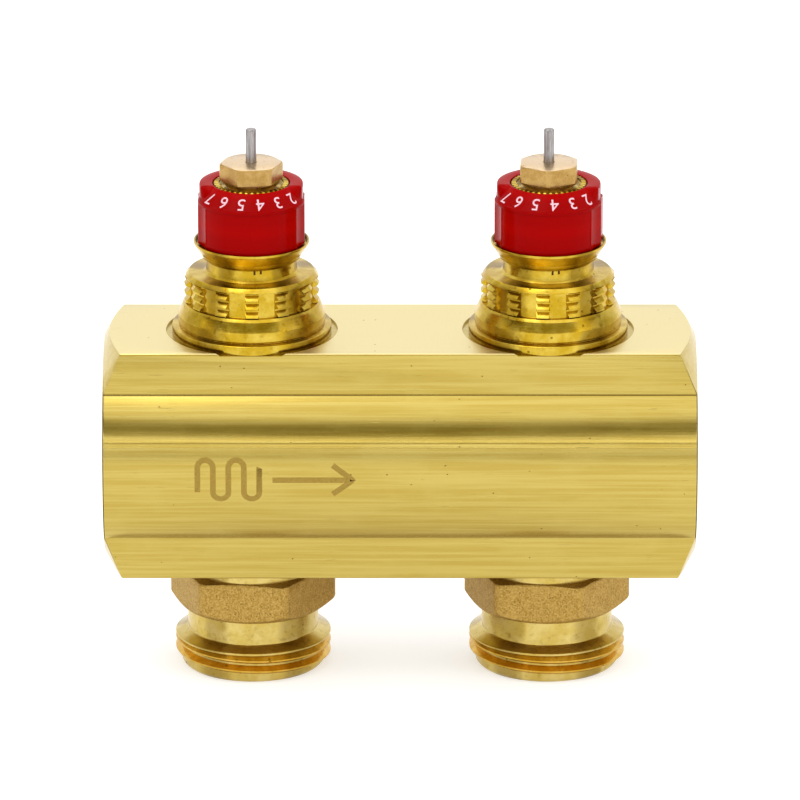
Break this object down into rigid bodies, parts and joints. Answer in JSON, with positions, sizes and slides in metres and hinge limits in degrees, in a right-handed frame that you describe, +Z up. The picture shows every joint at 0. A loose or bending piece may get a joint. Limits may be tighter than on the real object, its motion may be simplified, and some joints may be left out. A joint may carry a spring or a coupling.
{
  "type": "heating manifold bar",
  "caption": "Brass underfloor-heating manifold bar with presetting valve inserts that take click-on actuator heads, numbered red dials and threaded cone outlets.",
  "frame": {"origin": "midway between the outlets, on the plane of their open ends", "axes": "+X along the bar, -Y the front with the dial numbers, +Z up along the valve pins"},
  "size_m": [0.1, 0.0372, 0.0946],
  "materials": {
    "bar_brass": "extruded and brushed",
    "turned_brass": "turned",
    "satin_brass": "satin",
    "cast_brass": "sand cast, turned thread and neck",
    "red_plastic": "moulded, satin gloss",
    "grey_plastic": "moulded",
    "spring_steel": "drawn wire",
    "pin_steel": "ground",
    "black_rubber": "moulded"
  },
  "bodies": {
    "bar": {"manifold_bar": "bar_brass", "valve_body_left": "turned_brass", "body_o_ring_left": "black_rubber", "thrust_washer_left": "grey_plastic", "dial_snap_ring_left": "spring_steel", "valve_seat_left": "turned_brass", "outlet_nipple_left": "cast_brass", "nipple_o_ring_left": "black_rubber", "return_spring_left": "spring_steel", "valve_body_right": "turned_brass", "body_o_ring_right": "black_rubber", "thrust_washer_right": "grey_plastic", "dial_snap_ring_right": "spring_steel", "valve_seat_right": "turned_brass", "outlet_nipple_right": "cast_brass", "nipple_o_ring_right": "black_rubber", "return_spring_right": "spring_steel"},
    "driver_left": {"preset_driver_left": "turned_brass", "driver_o_ring_left": "black_rubber", "throttle_sleeve_left": "grey_plastic", "gland_nut_left": "satin_brass", "gland_o_ring_left": "black_rubber"},
    "dial_left": {"preset_dial_left": "red_plastic"},
    "pin_left": {"actuator_pin_left": "pin_steel", "valve_spindle_left": "turned_brass", "valve_disc_left": "black_rubber"},
    "driver_right": {"preset_driver_right": "turned_brass", "driver_o_ring_right": "black_rubber", "throttle_sleeve_right": "grey_plastic", "gland_nut_right": "satin_brass", "gland_o_ring_right": "black_rubber"},
    "dial_right": {"preset_dial_right": "red_plastic"},
    "pin_right": {"actuator_pin_right": "pin_steel", "valve_spindle_right": "turned_brass", "valve_disc_right": "black_rubber"}
  },
  "joints": [
    {"name": "dial_turn_left", "type": "hinge", "parent": "bar", "child": "driver_left", "pos_m": [-0.025, 0, 0.08], "axis": [0, 0, 1], "range_deg": [-67.5, 90]},
    {"name": "dial_lift_left", "type": "slide", "parent": "driver_left", "child": "dial_left", "axis": [0, 0, 1], "range_m": [0, 0.0012]},
    {"name": "pin_stroke_left", "type": "slide", "parent": "bar", "child": "pin_left", "axis": [0, 0, -1], "range_m": [0, 0.002], "stiffness_N_per_m": 4000, "springref_m": -0.004, "deforming": ["return_spring_left"]},
    {"name": "dial_turn_right", "type": "hinge", "parent": "bar", "child": "driver_right", "pos_m": [0.025, 0, 0.08], "axis": [0, 0, 1], "range_deg": [-67.5, 90]},
    {"name": "dial_lift_right", "type": "slide", "parent": "driver_right", "child": "dial_right", "axis": [0, 0, 1], "range_m": [0, 0.0012]},
    {"name": "pin_stroke_right", "type": "slide", "parent": "bar", "child": "pin_right", "axis": [0, 0, -1], "range_m": [0, 0.002], "stiffness_N_per_m": 4000, "springref_m": -0.004, "deforming": ["return_spring_right"]}
  ]
}
